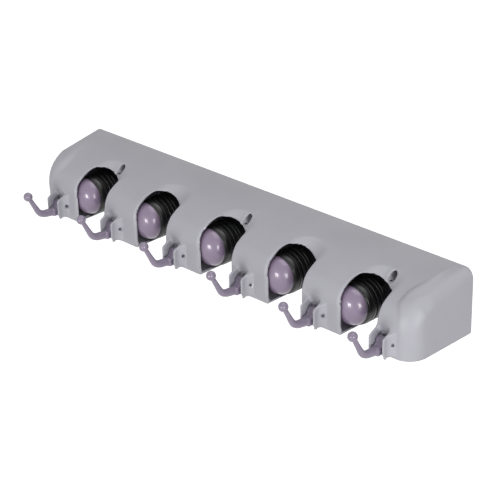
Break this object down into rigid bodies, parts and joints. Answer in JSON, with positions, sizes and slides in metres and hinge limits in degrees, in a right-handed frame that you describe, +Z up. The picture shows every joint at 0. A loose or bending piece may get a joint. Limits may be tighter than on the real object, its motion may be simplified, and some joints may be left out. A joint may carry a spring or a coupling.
{
  "type": "wall mop holder",
  "caption": "Wall rack with open slots where rubber rollers wedge mop and broom handles, and folding hooks along its front.",
  "frame": {"origin": "centre of the middle wall screw's hole, on the wall plane", "axes": "+X along the rack to its right end seen from the front, +Y into the wall, +Z up"},
  "size_m": [0.42, 0.1078, 0.0545],
  "materials": {
    "housing_plastic": "cool mid grey moulded plastic, satin",
    "plate_plastic": "grey moulded plastic, matt",
    "mauve_plastic": "mauve moulded plastic, semi-gloss",
    "sleeve_rubber": "black rubber, satin",
    "shoe_plastic": "natural acetal",
    "screw_steel": "zinc plated"
  },
  "bodies": {
    "rack": {"housing": "housing_plastic", "back_plate": "plate_plastic", "plate_screws": "screw_steel"},
    "carriage_1": {"slide_shoe_1": "shoe_plastic"},
    "roller_1": {"roller_core_1": "mauve_plastic", "rubber_sleeve_1": "sleeve_rubber", "roller_washer_1": "screw_steel", "roller_screw_1": "screw_steel"},
    "carriage_2": {"slide_shoe_2": "shoe_plastic"},
    "roller_2": {"roller_core_2": "mauve_plastic", "rubber_sleeve_2": "sleeve_rubber", "roller_washer_2": "screw_steel", "roller_screw_2": "screw_steel"},
    "carriage_3": {"slide_shoe_3": "shoe_plastic"},
    "roller_3": {"roller_core_3": "mauve_plastic", "rubber_sleeve_3": "sleeve_rubber", "roller_washer_3": "screw_steel", "roller_screw_3": "screw_steel"},
    "carriage_4": {"slide_shoe_4": "shoe_plastic"},
    "roller_4": {"roller_core_4": "mauve_plastic", "rubber_sleeve_4": "sleeve_rubber", "roller_washer_4": "screw_steel", "roller_screw_4": "screw_steel"},
    "carriage_5": {"slide_shoe_5": "shoe_plastic"},
    "roller_5": {"roller_core_5": "mauve_plastic", "rubber_sleeve_5": "sleeve_rubber", "roller_washer_5": "screw_steel", "roller_screw_5": "screw_steel"},
    "folding_hook_1": {"hook_1": "mauve_plastic"},
    "folding_hook_2": {"hook_2": "mauve_plastic"},
    "folding_hook_3": {"hook_3": "mauve_plastic"},
    "folding_hook_4": {"hook_4": "mauve_plastic"},
    "folding_hook_5": {"hook_5": "mauve_plastic"},
    "folding_hook_6": {"hook_6": "mauve_plastic"}
  },
  "joints": [
    {"name": "track_1", "type": "slide", "parent": "rack", "child": "carriage_1", "axis": [-0.8192, 0, 0.5736], "range_m": [0, 0.0056]},
    {"name": "roll_1", "type": "hinge", "parent": "carriage_1", "child": "roller_1", "pos_m": [-0.1774, -0.008, -0.027], "axis": [0, 1, 0], "continuous": true},
    {"name": "track_2", "type": "slide", "parent": "rack", "child": "carriage_2", "axis": [-0.8192, 0, 0.5736], "range_m": [0, 0.0056]},
    {"name": "roll_2", "type": "hinge", "parent": "carriage_2", "child": "roller_2", "pos_m": [-0.102, -0.008, -0.027], "axis": [0, 1, 0], "continuous": true},
    {"name": "track_3", "type": "slide", "parent": "rack", "child": "carriage_3", "axis": [-0.8192, 0, 0.5736], "range_m": [0, 0.0056]},
    {"name": "roll_3", "type": "hinge", "parent": "carriage_3", "child": "roller_3", "pos_m": [-0.0266, -0.008, -0.027], "axis": [0, 1, 0], "continuous": true},
    {"name": "track_4", "type": "slide", "parent": "rack", "child": "carriage_4", "axis": [-0.8192, 0, 0.5736], "range_m": [0, 0.0056]},
    {"name": "roll_4", "type": "hinge", "parent": "carriage_4", "child": "roller_4", "pos_m": [0.0488, -0.008, -0.027], "axis": [0, 1, 0], "continuous": true},
    {"name": "track_5", "type": "slide", "parent": "rack", "child": "carriage_5", "axis": [-0.8192, 0, 0.5736], "range_m": [0, 0.0056]},
    {"name": "roll_5", "type": "hinge", "parent": "carriage_5", "child": "roller_5", "pos_m": [0.1242, -0.008, -0.027], "axis": [0, 1, 0], "continuous": true},
    {"name": "fold_1", "type": "hinge", "parent": "rack", "child": "folding_hook_1", "pos_m": [-0.1978, -0.0695, -0.0353], "axis": [-1, 0, 0], "range_deg": [0, 65]},
    {"name": "fold_2", "type": "hinge", "parent": "rack", "child": "folding_hook_2", "pos_m": [-0.1289, -0.0695, -0.0353], "axis": [-1, 0, 0], "range_deg": [0, 65]},
    {"name": "fold_3", "type": "hinge", "parent": "rack", "child": "folding_hook_3", "pos_m": [-0.0525, -0.0695, -0.0353], "axis": [-1, 0, 0], "range_deg": [0, 65]},
    {"name": "fold_4", "type": "hinge", "parent": "rack", "child": "folding_hook_4", "pos_m": [0.0239, -0.0695, -0.0353], "axis": [-1, 0, 0], "range_deg": [0, 65]},
    {"name": "fold_5", "type": "hinge", "parent": "rack", "child": "folding_hook_5", "pos_m": [0.1003, -0.0695, -0.0353], "axis": [-1, 0, 0], "range_deg": [0, 65]},
    {"name": "fold_6", "type": "hinge", "parent": "rack", "child": "folding_hook_6", "pos_m": [0.1687, -0.0695, -0.0353], "axis": [-1, 0, 0], "range_deg": [0, 65]}
  ]
}
